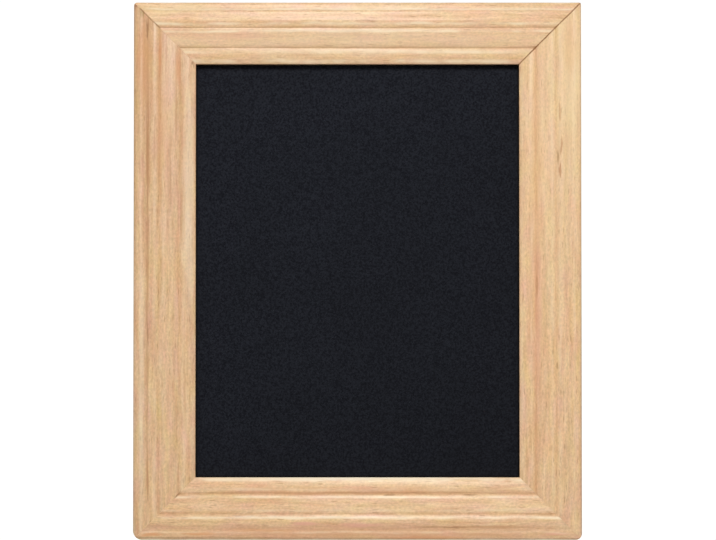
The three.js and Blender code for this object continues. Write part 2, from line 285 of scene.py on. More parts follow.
def moulding_marks_group():
    """Where finish has gathered and painted shade lies, and where crests are sanded and painted as
    highlights, from a place along, across and up through one side's section.
    """
    tree, entry, exits = new_group(
        "moulding_marks",
        {"Place": "Vector", "Half Length": "Float", "First Joint": "Vector", "Last Joint": "Vector"},
        {
            "Wavy": "Float", "Dashes": "Float", "Groove Stain And Shade": "Float", "Joint": "Float",
            "End Grain": "Float", "Bare": "Float",
        },
    )
    place = entry["Place"]
    along, across, height = parts_of(tree, place)
    on_front = sums(tree, "GREATER_THAN", height, LOWEST_FRONT)
    wobble = wandering(tree, place, LINE_WAVES, -LINE_WOBBLE, LINE_WOBBLE)
    wavy = sums(tree, "ADD", across, wobble)
    dashes = rescale(tree, blotches(tree, place, SANDED_AND_HIGHLIT_DASHES), 0.38, 0.62, 0.25, 1.6)
    patches = rescale(tree, blotches(tree, place, STAIN_PATCHES, 3.0, 0.7), 0.3, 0.7, 0.35, 1.15)
    # Gathered finish and painted shade along the quirk and the two grooves
    stained_shaded_grooves = lines_across(tree, wavy, (QUIRK, OUTER_GROOVE, INNER_GROOVE))
    stained_shaded_grooves = sums(tree, "MULTIPLY", sums(tree, "MULTIPLY", stained_shaded_grooves, patches), on_front)

    from_end = sums(tree, "SUBTRACT", entry["Half Length"], sums(tree, "ABSOLUTE", along))
    from_joint = sums(tree, "ABSOLUTE", sums(tree, "SUBTRACT", from_end, across))
    at_last = sums(tree, "GREATER_THAN", along, 0.0)
    joints = {0: at_last, 4: entry["First Joint"], 5: entry["Last Joint"]}
    nearer_joint = shader_node(tree, "ShaderNodeMix", joints, data_type="VECTOR").outputs[1]
    stain, starts, stops = parts_of(tree, nearer_joint)
    past_start = sums(tree, "SUBTRACT", across, starts)
    past_stop = sums(tree, "SUBTRACT", across, stops)
    within = sums(
        tree, "MULTIPLY",
        rescale(tree, past_start, -STAIN_FADE, STAIN_FADE, kind="SMOOTHSTEP"),
        rescale(tree, past_stop, -STAIN_FADE, STAIN_FADE, 1.0, 0.0, "SMOOTHSTEP"),
    )
    stain = sums(tree, "MULTIPLY", stain, within)
    near_joint = rescale(tree, from_joint, 0, GATHERED_REACH, 1.5, 0.0, "SMOOTHSTEP")
    gathered = sums(tree, "ADD", 1.0, sums(tree, "MULTIPLY", near_joint, stain))
    beads = rescale(tree, blotches(tree, place, GLUE_BEADS, 3.0, 0.7), 0.35, 0.6, 0.45, 1.0)
    joint = rescale(tree, from_joint, JOINT_WIDTH / 2, JOINT_WIDTH, 1.0, 0.0, "SMOOTHSTEP")
    joint = sums(tree, "MULTIPLY", sums(tree, "MULTIPLY", joint, stain), beads)
    plug(tree, exits, {
        "Wavy": wavy,
        "Dashes": sums(tree, "MULTIPLY", dashes, on_front),
        "Groove Stain And Shade": sums(tree, "MULTIPLY", stained_shaded_grooves, gathered),
        "Joint": joint,
        "End Grain": rescale(tree, from_end, 0, END_GRAIN_DEPTH, 1.0, 0.0, "SMOOTHSTEP"),
        "Bare": sums(tree, "LESS_THAN", height, BARE_BACK),
    })
    return tree


def soft_streak_group():
    """One soft-edged mark in the wood, from its middle and how far it reaches each way."""
    tree, entry, exits = new_group(
        "soft_streak", {"Place": "Vector", "Middle": "Vector", "Reach": "Vector"}, {"Mark": "Float"},
    )
    away = vectors(tree, "SUBTRACT", entry["Place"], entry["Middle"])
    share = {0: vectors(tree, "DIVIDE", away, entry["Reach"])}
    distance = shader_node(tree, "ShaderNodeVectorMath", share, operation="LENGTH").outputs["Value"]
    plug(tree, exits, {"Mark": rescale(tree, distance, 0.3, 1.2, 1.0, 0.0, "SMOOTHSTEP")})
    return tree


wood_figure = wood_figure_group()
moulding_marks = moulding_marks_group()
soft_streak = soft_streak_group()

# For each mitre: how far its edges are rubbed down beside the frame's other arrises, how much its
# glue has stained the wood and between which places across the moulding, and how deep the glue lies.
MITRES = {
    "top_right": {"arris": 0.5, "stain": 0.95, "stained": (-2, 29), "glue_depth": 0.08 * MM},
    "top_left": {"arris": 0.3, "stain": 0.75, "stained": (2.5, 11.5), "glue_depth": 0.02 * MM},
    "bottom_left": {"arris": 0.12, "stain": 0.6, "stained": (18.6, 21), "glue_depth": 0.03 * MM},
    "bottom_right": {"arris": 0.1, "stain": 0.25, "stained": (18.5, 20.5), "glue_depth": 0.02 * MM},
}

# For each side: how far it is turned from the bottom rail, the mitres at its first and last ends,
# where in the log it was cut, how red and how bright its wood is (the left stile darker, partly as
# painted shade), how much its grooves are painted darker and its crests paler, stain and sanding
# together with painted shade and highlights, strongest on the rails, which the light from above
# falls across, and which crests are sanded and painted lit. Then its single marks: the colour, the
# place along the side from its middle and in from its outer edge, the half length and half width,
# and the strength.
PINK = (0.86, 0.45, 0.33, 1)
ORANGE_RED = (0.78, 0.38, 0.18, 1)
RED_BROWN = (0.55, 0.27, 0.13, 1)
DARK_BROWN = (0.3, 0.13, 0.05, 1)
OLIVE = (0.42, 0.3, 0.1, 1)
STRAW = (0.9, 0.72, 0.42, 1)
# Cream is pale wood on the left stile, and on the rails a painted highlight along the lips and crests
CREAM_AND_HIGHLIGHT = (1, 0.93, 0.75, 1)
ROSY = (0.86, 0.65, 0.45, 1)
SIDES = {
    "bottom_rail": {
        "turn": 0, "ends": ("bottom_left", "bottom_right"), "cut": (310, 0, 0),
        "red": 0.4, "tone": 0.98, "lines": 1.2, "crests_and_highlights": BOTTOM_SANDED_AND_LIT_CRESTS,
        "marks": (
            (RED_WOOD, 0, 2.5, 110, 5, 0.42), (ORANGE_RED, 0, 21.9, 80, 2.0, 0.35),
            # The cream marks along the sight lip and the outer groove are painted highlights
            (CREAM_AND_HIGHLIGHT, 0, 27.4, 78, 1.0, 0.8), (CREAM_AND_HIGHLIGHT, -25, 10.1, 60, 0.5, 0.35),
            # The long red-brown mark along the inner groove is painted shade that darkens the groove
            (RED_WOOD, 0, 2.7, 110, 0.9, 0.25), (RED_BROWN, 0, 21, 74, 0.5, 0.35),
            (PINK, 2.7, 6.5, 11, 1.2, 0.7), (PINK, -23.7, 7.2, 8.4, 1.1, 0.75),
            (PINK, 88, 2.7, 6, 1.0, 0.6), (ORANGE_RED, 32, 0.9, 22, 1.0, 0.6),
            (ORANGE_RED, -71, 2.7, 9, 0.9, 0.75), (ORANGE_RED, -91.5, 2.6, 5.5, 1.0, 0.8),
            (ORANGE_RED, -40, 4.4, 16, 0.9, 0.45), (RED_BROWN, 60, 5.8, 22, 0.6, 0.45),
            (DARK_BROWN, 38.5, 5.7, 14.5, 0.4, 0.4), (DARK_BROWN, 15, 20, 4, 0.5, 0.7),
            (DARK_BROWN, 50.3, 20, 3.5, 0.3, 0.45), (DARK_BROWN, 57.4, 23.6, 2.4, 0.3, 0.5),
            (DARK_BROWN, -57, 23.9, 1.2, 0.25, 0.5), (DARK_BROWN, -64.6, 14.4, 1.2, 0.3, 0.6),
            (DARK_BROWN, -74.3, 14.3, 2.8, 0.35, 0.5), (DARK_BROWN, 86.3, 11.9, 1.2, 0.3, 0.6),
        ),
    },
    "top_rail": {
        "turn": 180, "ends": ("top_right", "top_left"), "cut": (-240, 90, 0),
        "red": 0.2, "tone": 1.0, "lines": 1.1, "crests_and_highlights": SANDED_AND_LIT_CRESTS,
        "marks": (
            (DARK_BROWN, 13.4, 19.7, 3, 0.45, 0.6), (DARK_BROWN, -5.1, 8.4, 4, 0.45, 0.5),
            # The cream marks below, along the crests, are painted highlights
            (ROSY, 0, 18, 110, 8, 0.35), (CREAM_AND_HIGHLIGHT, 0, 3.2, 110, 0.6, 0.3), (STRAW, 80, 3, 18, 2.5, 0.35),
            (PINK, 60, 15, 30, 2.5, 0.25), (CREAM_AND_HIGHLIGHT, 10, 12.9, 60, 0.7, 0.3),
        ),
    },
    "right_stile": {
        "turn": -90, "ends": ("bottom_right", "top_right"), "cut": (900, 40, 30),
        "red": 0.2, "tone": 1.0, "lines": 0.3, "crests_and_highlights": SANDED_AND_LIT_CRESTS,
        "marks": (
            (STRAW, 70, 12, 90, 20, 0.25), (STRAW, 85, 4, 40, 5, 0.4),
            (ORANGE_RED, 0, 20.5, 120, 4.5, 0.25),
            (PINK, -20, 19.5, 42, 1.8, 0.4), (RED_BROWN, -3, 20, 12, 0.5, 0.6),
            (RED_BROWN, 71, 9.8, 4, 0.5, 0.6), (RED_BROWN, 56, 9.2, 3.6, 0.7, 0.75),
            (DARK_BROWN, 50.5, 10.6, 4, 0.7, 0.55), (RED_BROWN, 45, 9.6, 2.6, 0.8, 0.8),
            (ORANGE_RED, 100, 5, 16, 4, 0.25),
        ),
    },
    # The left stile's tone is lower than the others': partly its own darker wood and partly painted
    # shade
    "left_stile": {
        "turn": 90, "ends": ("top_left", "bottom_left"), "cut": (-820, -70, 10),
        "red": 0.5, "tone": 0.91, "lines": 0.25, "crests_and_highlights": SANDED_AND_LIT_CRESTS,
        "marks": (
            (RED_BROWN, -80, 13, 75, 22, 0.2), (ORANGE_RED, -94, 4.5, 26, 4, 0.5),
            (ORANGE_RED, -70, 12.5, 40, 4, 0.3), (RED_BROWN, 0, 6.3, 110, 0.7, 0.5),
            (CREAM_AND_HIGHLIGHT, 55, 3.8, 75, 1.5, 0.2), (CREAM_AND_HIGHLIGHT, -30, 25, 60, 2.4, 0.25),
            (RED_BROWN, -58, 9.5, 18, 0.5, 0.55), (RED_BROWN, -45, 16.5, 20, 0.6, 0.45),
            (RED_BROWN, -25, 21.5, 16, 0.7, 0.4), (RED_BROWN, 45, 23, 30, 0.8, 0.3),
            (RED_BROWN, 90, 6.5, 15, 0.6, 0.6), (RED_BROWN, -52, 6.5, 33, 0.8, 0.5),
            (RED_BROWN, -95, 14.6, 12, 0.5, 0.6), (RED_BROWN, -70, 19, 14, 0.7, 0.5),
            (DARK_BROWN, -52, 15.8, 3, 0.35, 0.4), (DARK_BROWN, 28, 6.4, 7, 0.4, 0.35),
            (OLIVE, -115.5, 4.3, 2.4, 1.6, 0.7), (DARK_BROWN, -119, 1, 1.3, 1, 0.7),
            (DARK_BROWN, -108, 6.2, 5, 0.6, 0.6), (DARK_BROWN, -93, 26.6, 1.6, 0.9, 0.7),
            (ORANGE_RED, -97, 11.9, 11, 0.8, 0.6), (ORANGE_RED, -90, 19.8, 9, 1.4, 0.5),
        ),
    },
}

board_middle = (cad_low + cad_high) / 2


def tinted(colour, tone):
    return (*(channel * tone for channel in colour[:3]), 1)


def lacquered_wood(node, turn, ends, cut, red, tone, lines, crests_and_highlights, marks):
    """One side's wood. Its place is turned so that it reads along, across and up its section."""
    turned = Euler((-math.pi / 2, 0, math.radians(turn))).to_matrix()
    outwards = turned.inverted() @ Vector((0, -1, 0))
    half_board = (cad_high - cad_low) / 2
    edge = board_middle + half_board * outwards
    edge.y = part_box(node)[1].y
    half_length = half_board.x if abs(outwards.z) > 0.5 else half_board.z

    material, tree, surface = new_material(node + "_wood")
    place = shader_node(
        tree, "ShaderNodeMapping",
        {
            "Vector": shader_node(tree, "ShaderNodeTexCoord").outputs["Object"],
            "Scale": (1 / MM, 1 / MM, 1 / MM),
            "Rotation": turned.to_euler(),
            "Location": -(turned @ edge) / MM,
        },
    ).outputs[0]
    figure = placed_group(tree, wood_figure, {
        "Place": vectors(tree, "ADD", place, cut),
        "Pale": tinted(PALE_WOOD, tone),
        "Warm": tinted(WARM_WOOD, tone),
        "Red": tinted(RED_WOOD, tone),
        "Redness": red,
    })
    first, last = ((MITRES[corner]["stain"], *MITRES[corner]["stained"]) for corner in ends)
    worked = placed_group(tree, moulding_marks, {
        "Place": place, "Half Length": half_length / MM, "First Joint": first, "Last Joint": last,
    })

    colour = figure["Color"]
    ragged = {
        "X": wandering(tree, place, RAGGED_ALONG, -3, 3),
        "Y": wandering(tree, place, RAGGED_ACROSS, -0.7, 0.7, 3.0, 0.6),
    }
    ragged_place = vectors(
        tree, "ADD", place, shader_node(tree, "ShaderNodeCombineXYZ", ragged).outputs[0],
    )
    for tint, along, across, half_long, half_wide, strength in marks:
        mark = placed_group(tree, soft_streak, {
            "Place": ragged_place,
            "Middle": (along, across, MARKED_HEIGHT),
            "Reach": (half_long, half_wide, MARKED_HEIGHT),
        })["Mark"]
        colour = mix(tree, sums(tree, "MULTIPLY", mark, strength), colour, tinted(tint, tone))
    # Painted highlight and shade: crests are painted paler, partly sanding and partly highlights from
    # the light above, and grooves darker, partly gathered finish and partly shade
    sanded_and_highlit = sums(
        tree, "MULTIPLY",
        lines_across(tree, worked["Wavy"], crests_and_highlights),
        sums(tree, "MULTIPLY", worked["Dashes"], CREST_SANDING_AND_HIGHLIGHT * lines),
    )
    stained = sums(tree, "MULTIPLY", worked["Groove Stain And Shade"], GROOVE_STAIN_AND_SHADE * lines)
    colour = mix(tree, sanded_and_highlit, colour, SANDED_AND_HIGHLIT_WOOD)
    colour = mix(tree, sums(tree, "MULTIPLY", worked["End Grain"], 0.3), colour, RED_WOOD)
    colour = mix(tree, stained, colour, STAIN_AND_SHADE_BROWN)
    colour = mix(tree, worked["Joint"], colour, GLUE_BROWN)
    colour = mix(tree, sums(tree, "MULTIPLY", worked["Bare"], 0.55), colour, BARE_WOOD)
    lacquered = rescale(tree, figure["Pores"], 0, 1, LACQUER_ROUGHNESS, PORE_ROUGHNESS)
    bare = sums(tree, "MULTIPLY", worked["Bare"], BARE_ROUGHNESS)
    plug(tree, surface, {
        "Base Color": colour,
        "Roughness": sums(tree, "MAXIMUM", lacquered, bare),
        "Normal": bump(tree, figure["Height"], 0.35, OPEN_GRAIN),
        "Specular IOR Level": WOOD_GLOSS,
        "Coat Weight": LACQUER_SHEEN,
        "Coat Roughness": LACQUER_SHEEN_ROUGHNESS,
    })
    return material


def new_object(name, shape, material):
    """Makes a smooth mesh of a bmesh and puts it in the scene."""
    mesh = bpy.data.meshes.new(name)
    shape.to_mesh(mesh)
    shape.free()
    mesh.shade_smooth()
    mesh.materials.append(material)
    added = bpy.data.objects.new(name, mesh)
    bpy.context.scene.collection.objects.link(added)
    return added


def link_piece(name, shape, material, body, node):
    """Makes a finished piece of a bmesh, in place of a node's plain solid where it has one."""
    piece = new_object(name, shape, material)
    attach(piece, body)
    if node:
        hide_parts(node)
    return piece


def merged_copy(node):
    """A node's solid as one merged shape, with whole faces in place of its triangles."""
    shape = bmesh.new()
    shape.from_mesh(frame["nodes"][node].data)
    bmesh.ops.remove_doubles(shape, verts=shape.verts, dist=MERGED_WITHIN)
    bmesh.ops.dissolve_limit(shape, angle_limit=FLAT, verts=shape.verts, edges=shape.edges)
    return shape


def ease_edges(piece, width, method="ANGLE"):
    """Rubs down a piece's sharp edges."""
    bevel = piece.modifiers.new("eased_edges", "BEVEL")
    bevel.width = width
    bevel.segments = 3
    bevel.limit_method = method
    bevel.angle_limit = SHARP
    bevel.harden_normals = True


def way_to(corner):
    return Vector((1 if "right" in corner else -1, 0, 1 if "top" in corner else -1))


def weigh_arrises(shape, middle, ends):
    """Marks a side's sharp edges, those of its mitres to be rubbed down less than the rest."""
    weights = shape.edges.layers.float.new("bevel_weight_edge")
    for edge in shape.edges:
        if edge.calc_face_angle(0) < SHARP:
            continue
        edge[weights] = 1
        for corner in ends:
            way = way_to(corner)
            across_joint = Vector((way.z, 0, -way.x)).normalized()
            in_joint = any(abs(face.normal.dot(across_joint)) > SAME_WAY for face in edge.link_faces)
            if in_joint and (edge.verts[0].co - middle).dot(way) > 0:
                edge[weights] = MITRES[corner]["arris"]


for node, stretch in SIDES.items():
    shape = merged_copy(node)
    weigh_arrises(shape, board_middle, stretch["ends"])
    side = link_piece(
        node + "_moulding", shape, lacquered_wood(node, **stretch), "frame", node,
    )
    ease_edges(side, ARRIS, "WEIGHT")


# The mitres are glued. A thin brown line of glue shows in each joint, a little below the surface
# of the wood, and most of all at the top right, where the joint's edges are rubbed down the most.

GLUE_THICKNESS = 0.09 * MM
GLUE_FROM_WOOD = 0.015 * MM
GLUE_ROUGHNESS = 0.5
DRIED_BEADS = (2.5, 2.5, 2.5)


def in_millimetres(tree):
    place = shader_node(tree, "ShaderNodeTexCoord").outputs["Object"]
    return vectors(tree, "MULTIPLY", place, [1 / MM] * 3)


def dried_glue(corner):
    """Brown where it has stained the joint, and near the colour of the wood elsewhere."""
    material, tree, surface = new_material("dried_glue_" + corner)
    place = in_millimetres(tree)
    beads = rescale(tree, blotches(tree, place, DRIED_BEADS, 3.0), 0.3, 0.7)
    from_middle = sums(tree, "ABSOLUTE", parts_of(tree, place)[0])
    across = sums(tree, "SUBTRACT", cad_high.x / MM, from_middle)
    starts, stops = MITRES[corner]["stained"]
    stain = sums(
        tree, "MULTIPLY",
        rescale(tree, across, starts - STAIN_FADE, starts + STAIN_FADE, 0.0, MITRES[corner]["stain"]),
        rescale(tree, across, stops - STAIN_FADE, stops + STAIN_FADE, 1.0, 0.0),
    )
    brown = mix(tree, beads, GLUE_BROWN, STAIN_AND_SHADE_BROWN)
    plug(tree, surface, {
        "Base Color": mix(tree, stain, PALE_WOOD, brown), "Roughness": GLUE_ROUGHNESS,
    })
    return material


def glue_line(node, corner):
    """The end face of a rail, drawn in from its outline and thickened across the joint."""
    way = way_to(corner)
    across_joint = Vector((way.x, 0, -way.z)).normalized()
    stile_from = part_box("right_stile")[0].x
    shape = merged_copy(node)
    others = [
        face for face in shape.faces
        if face.normal.dot(across_joint) < SAME_WAY or abs(face.calc_center_median().x) < stile_from
    ]
    bmesh.ops.delete(shape, geom=others, context="FACES")
    rim = bmesh.ops.inset_region(
        shape, faces=shape.faces, thickness=MITRES[corner]["glue_depth"], use_boundary=True,
        use_even_offset=True,
    )["faces"]
    bmesh.ops.delete(shape, geom=rim, context="FACES")
    bmesh.ops.translate(shape, vec=across_joint * GLUE_FROM_WOOD, verts=shape.verts)
    thickened = bmesh.ops.extrude_face_region(shape, geom=shape.faces[:], use_keep_orig=True)["geom"]
    moved = [part for part in thickened if isinstance(part, bmesh.types.BMVert)]
    bmesh.ops.translate(shape, vec=across_joint * GLUE_THICKNESS, verts=moved)
    bmesh.ops.recalc_face_normals(shape, faces=shape.faces)
    return shape


for node in ("top_rail", "bottom_rail"):
    for corner in SIDES[node]["ends"]:
        link_piece(
            "mitre_glue_" + corner, glue_line(node, corner), dried_glue(corner), "frame", None,
        )


# The writing panel is a sheet of black-coated laminate, matt and very finely grained so that it
# takes chalk, glued to a hardboard core whose rough back carries the print of a wire screen.

COATING_GRAIN = 0.8
COATING_SHADE = 1.2
COATING_BUMPS = 0.03 * MM
COATING_GLOSS = 0.1
# How much lighter the black is painted towards the top, as light from above, and across the board
PAINTED_LIGHT_UP = (0.89, 1.2)
BRIGHTNESS_ACROSS = (1.08, 0.94)
COATING_BLACK = (0.0012, 0.0017, 0.0048, 1)
COATING_GREY = (0.0129, 0.0148, 0.0212, 1)
SHADE_BLACK = (0.0012, 0.0011, 0.001, 1)

CORE_GRAIN = 0.8
CORE_FIBRES = (1.4, 1.4, 1.4)
CORE_ROUGHNESS = 0.85
CORE_GLOSS = 0.25
SCREEN_PITCH = 1.5
SCREEN_BUMPS = 0.12 * MM
CORE_BROWN = (0.115, 0.055, 0.024, 1)
CORE_PALE = (0.25, 0.135, 0.066, 1)
SCREEN_BROWN = (0.07, 0.033, 0.015, 1)

# The corners of the part of the panel that shows inside the frame, in millimetres
sight_low = Vector((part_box("left_stile")[1].x, 0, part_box("bottom_rail")[1].z)) / MM
sight_high = Vector((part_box("right_stile")[0].x, 0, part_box("top_rail")[0].z)) / MM


def speckle_group():
    """Fine even grain, such as that of a sprayed coating or moulded rubber, in millimetres."""
    tree, entry, exits = new_group(
        "speckle", {"Place": "Vector", "Grain": "Float"}, {"Fine": "Float", "Broad": "Float"},
    )
    finer = {0: entry["Place"], 3: sums(tree, "DIVIDE", 1.0, entry["Grain"])}
    sized = shader_node(tree, "ShaderNodeVectorMath", finer, operation="SCALE").outputs[0]
    fine = {"Vector": sized, "Scale": 1.0, "Detail": 3.0, "Roughness": 0.7}
    broad = {"Vector": sized, "Scale": 0.02, "Detail": 2.0}
    plug(tree, exits, {
        "Fine": shader_node(tree, "ShaderNodeTexNoise", fine).outputs["Fac"],
        "Broad": shader_node(tree, "ShaderNodeTexNoise", broad).outputs["Fac"],
    })
    return tree


speckle = speckle_group()


def chalk_coating():
    """Black with a fine grain, painted lighter towards the top and a little to the left, and with
    painted shade along the frame.
    """
    material, tree, surface = new_material("chalk_coating")
    place = in_millimetres(tree)
    grain = placed_group(tree, speckle, {"Place": place, "Grain": COATING_GRAIN})
    black = mix(tree, rescale(tree, grain["Fine"], 0.38, 0.62), COATING_BLACK, COATING_GREY)
    black = shaded(tree, black, rescale(tree, grain["Broad"], 0.3, 0.7, 0.93, 1.07))
    parts = parts_of(tree, place)
    # Painted light: the black is lighter towards the top, where the light falls from above, and a
    # little lighter to the left
    painted_brightness = sums(
        tree, "MULTIPLY",
        rescale(tree, parts[2], sight_low.z, sight_high.z, *PAINTED_LIGHT_UP),
        rescale(tree, parts[0], sight_low.x, sight_high.x, *BRIGHTNESS_ACROSS),
    )
    black = shaded(tree, black, painted_brightness)
    from_sides = [
        sums(tree, "MINIMUM",
             sums(tree, "SUBTRACT", parts[axis], sight_low[axis]),
             sums(tree, "SUBTRACT", sight_high[axis], parts[axis]))
        for axis in (0, 2)
    ]
    lit = rescale(tree, sums(tree, "MINIMUM", *from_sides), 0, COATING_SHADE, kind="SMOOTHSTEP")
    plug(tree, surface, {
        "Base Color": mix(tree, lit, SHADE_BLACK, black),
        "Roughness": rescale(tree, grain["Fine"], 0.3, 0.7, 0.62, 0.78),
        "Normal": bump(tree, grain["Fine"], 0.5, COATING_BUMPS),
        "Specular IOR Level": COATING_GLOSS,
    })
    return material


def hardboard():
    """Pressed brown fibres, darker and deeper where the wires of the screen lay."""
    material, tree, surface = new_material("hardboard")
    place = in_millimetres(tree)
    grain = placed_group(tree, speckle, {"Place": place, "Grain": CORE_GRAIN})
    fibres = rescale(tree, blotches(tree, place, CORE_FIBRES, 4.0, 0.75), 0.3, 0.7)
    brown = mix(tree, fibres, CORE_BROWN, CORE_PALE)
    brown = shaded(tree, brown, rescale(tree, grain["Broad"], 0.3, 0.7, 0.85, 1.12))
    parts = parts_of(tree, place)
    wires = [
        sums(tree, "SINE", sums(tree, "MULTIPLY", parts[axis], 2 * math.pi / SCREEN_PITCH))
        for axis in (0, 2)
    ]
    screen = rescale(tree, sums(tree, "MULTIPLY", *wires), -1, 1)
    height = sums(tree, "SUBTRACT", sums(tree, "MULTIPLY", grain["Fine"], 0.5), screen)
    plug(tree, surface, {
        "Base Color": mix(tree, sums(tree, "MULTIPLY", screen, 0.3), brown, SCREEN_BROWN),
        "Roughness": CORE_ROUGHNESS,
        "Normal": bump(tree, height, 0.6, SCREEN_BUMPS),
        "Specular IOR Level": CORE_GLOSS,
    })
    return material


def finish_node(node, material):
    """Gives a node that is shown as it is another finish."""
    for held in frame["nodes"][node].material_slots:
        held.material = material


finish_node("writing_surface", chalk_coating())
finish_node("panel_core", hardboard())


# Flat steel points, shot into the rebate from behind, hold the panel in. V-nails, bent from
# steel strip, pull each mitre together. Both are of blued spring steel.

SCRATCHES = (0.16, 0.16, 5)
SCRATCH_DEPTH = 0.01 * MM
DULL_PATCHES = (3.2, 3.2, 3.2)
BLUE_GREY = (0.3, 0.32, 0.36, 1)
DULL_GREY = (0.17, 0.16, 0.165, 1)


def worn_metal_group():
    """Handled sheet metal in millimetres: fine scratches one way, and broad dull patches."""
    tree, entry, exits = new_group(
        "worn_metal", {"Place": "Vector"}, {"Scratches": "Float", "Patches": "Float"},
    )
    plug(tree, exits, {
        "Scratches": blotches(tree, entry["Place"], SCRATCHES, 4.0, 0.7),
        "Patches": blotches(tree, entry["Place"], DULL_PATCHES, 4.0, 0.65),
    })
    return tree


worn_metal = worn_metal_group()


def metal(name, bright, dull, shiny, rough):
    """A metal, from its colour where it is bright and where it is dull, and its roughness there."""
    material, tree, surface = new_material(name)
    wear = placed_group(tree, worn_metal, {"Place": in_millimetres(tree)})
    patches = rescale(tree, wear["Patches"], 0.35, 0.65)
    scratched = rescale(tree, wear["Scratches"], 0.3, 0.7, -0.05, 0.08)
    plug(tree, surface, {
        "Base Color": mix(tree, patches, bright, dull),
        "Metallic": 1,
        "Roughness": sums(tree, "ADD", rescale(tree, patches, 0, 1, shiny, rough), scratched),
        "Normal": bump(tree, wear["Scratches"], 0.3, SCRATCH_DEPTH),
    })
    return material


blued_steel = metal("blued_steel", BLUE_GREY, DULL_GREY, 0.32, 0.5)
for node in frame["nodes"]:
    if node.startswith(("panel_point", "v_nail")):
        finish_node(node, blued_steel)


# Each hanger is a strap of nickel-plated steel folded round the straight leg of a D-ring and
# held to the back of the stile by one pan-head screw through both of its leaves.

WIRE_RADIUS = 0.8 * MM
RING_WIDTH = 14 * MM
RING_REACH = 10.3 * MM
RING_CORNER = 1.9 * MM
RING_BUTT_GAP = 0.4 * MM
WIRE_SIDES = 24
CORNER_STEPS = 8
HALF_ROUND_STEPS = 40
STAMPED_EDGE = 0.12 * MM
BRIGHT_NICKEL = (0.74, 0.71, 0.65, 1)
DULL_NICKEL = (0.58, 0.55, 0.5, 1)

nickel = metal("nickel_plate", BRIGHT_NICKEL, DULL_NICKEL, 0.24, 0.4)


def sweep_straight(shape, section, way):
    """Draws a wire's section on by way, and returns the edges of its new end."""
    swept = bmesh.ops.extrude_edge_only(shape, edges=section)["geom"]
    moved = [part for part in swept if isinstance(part, bmesh.types.BMVert)]
    bmesh.ops.translate(shape, vec=way, verts=moved)
    ends = set(moved)
    return [part for part in swept if isinstance(part, bmesh.types.BMEdge) and set(part.verts) <= ends]


def sweep_round(shape, section, centre, angle, steps):
    """Bends the wire on round a centre, and returns the edges of its new end."""
    corners = list({vertex for edge in section for vertex in edge.verts})
    swept = bmesh.ops.spin(
        shape, geom=corners + section, cent=centre, axis=(0, 1, 0), angle=angle, steps=steps,
    )["geom_last"]
    return [part for part in swept if isinstance(part, bmesh.types.BMEdge)]


def wire_ring(node, joint):
    """Bends one length of wire into a D, its butted ends in the middle of the straight leg."""
    half = RING_WIDTH / 2
    straight = half - RING_CORNER - RING_BUTT_GAP / 2
    upright = RING_REACH - half - RING_CORNER
    shape = bmesh.new()
    to_section = Matrix.Translation((RING_BUTT_GAP / 2, 0, 0)) @ Matrix.Rotation(math.pi / 2, 4, "Y")
    bmesh.ops.create_circle(
        shape, cap_ends=True, segments=WIRE_SIDES, radius=WIRE_RADIUS, matrix=to_section,
    )
    first_corner = (half - RING_CORNER, 0, -RING_CORNER)
    last_corner = (RING_CORNER - half, 0, -RING_CORNER)
    section = shape.edges[:]
    section = sweep_straight(shape, section, (straight, 0, 0))
    section = sweep_round(shape, section, first_corner, math.pi / 2, CORNER_STEPS)
    section = sweep_straight(shape, section, (0, 0, -upright))
    section = sweep_round(shape, section, (0, 0, half - RING_REACH), math.pi, HALF_ROUND_STEPS)
    section = sweep_straight(shape, section, (0, 0, upright))
    section = sweep_round(shape, section, last_corner, math.pi / 2, CORNER_STEPS)
    section = sweep_straight(shape, section, (straight, 0, 0))
    bmesh.ops.holes_fill(shape, edges=section, sides=WIRE_SIDES)
    bmesh.ops.recalc_face_normals(shape, faces=shape.faces)
    pivot = Vector(joint["pos_m"])
    lean = math.asin((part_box(node)[1].y - WIRE_RADIUS - pivot.y) / RING_REACH)
    hang = Matrix.Translation(pivot) @ Matrix.Rotation(lean, 4, "X")
    bmesh.ops.transform(shape, matrix=hang, verts=shape.verts)
    return shape


for joint in frame["joints"]:
    side = joint["child"].removeprefix("ring_")
    ring_node = "hanging_ring_" + side
    ring = link_piece(
        "d_ring_" + side, wire_ring(ring_node, joint), nickel, joint["child"], ring_node,
    )
    ease_edges(ring, STAMPED_EDGE)
    strap, screw = (
        link_piece(
            f"{part}_{side}", merged_copy(f"hanger_{part}_{side}"), nickel, "frame",
            f"hanger_{part}_{side}",
        )
        for part in ("strap", "screw")
    )
    ease_edges(strap, STAMPED_EDGE)
    screw.data.set_sharp_from_angle(angle=SHARP)


# Two domes of black rubber keep the bottom of the board off the wall. Each is moulded in one
# piece, with a flat back that is stuck to the back of a stile.

BUMPER_RIM = 1.2 * MM
BUMPER_SIDES = 64
DOME_STEPS = 10
SEAM_WITHIN = 0.002 * MM
RUBBER_GRAIN = 0.3
RUBBER_BUMPS = 0.02 * MM
RUBBER_BLACK = (0.016, 0.016, 0.017, 1)
RUBBER_GREY = (0.032, 0.032, 0.033, 1)


def bumper_rubber():
    material, tree, surface = new_material("bumper_rubber")
    grain = placed_group(tree, speckle, {"Place": in_millimetres(tree), "Grain": RUBBER_GRAIN})
    black = mix(tree, rescale(tree, grain["Fine"], 0.3, 0.7), RUBBER_BLACK, RUBBER_GREY)
    plug(tree, surface, {
        "Base Color": black,
        "Roughness": rescale(tree, grain["Fine"], 0.3, 0.7, 0.55, 0.8),
        "Normal": bump(tree, grain["Fine"], 0.4, RUBBER_BUMPS),
    })
    return material


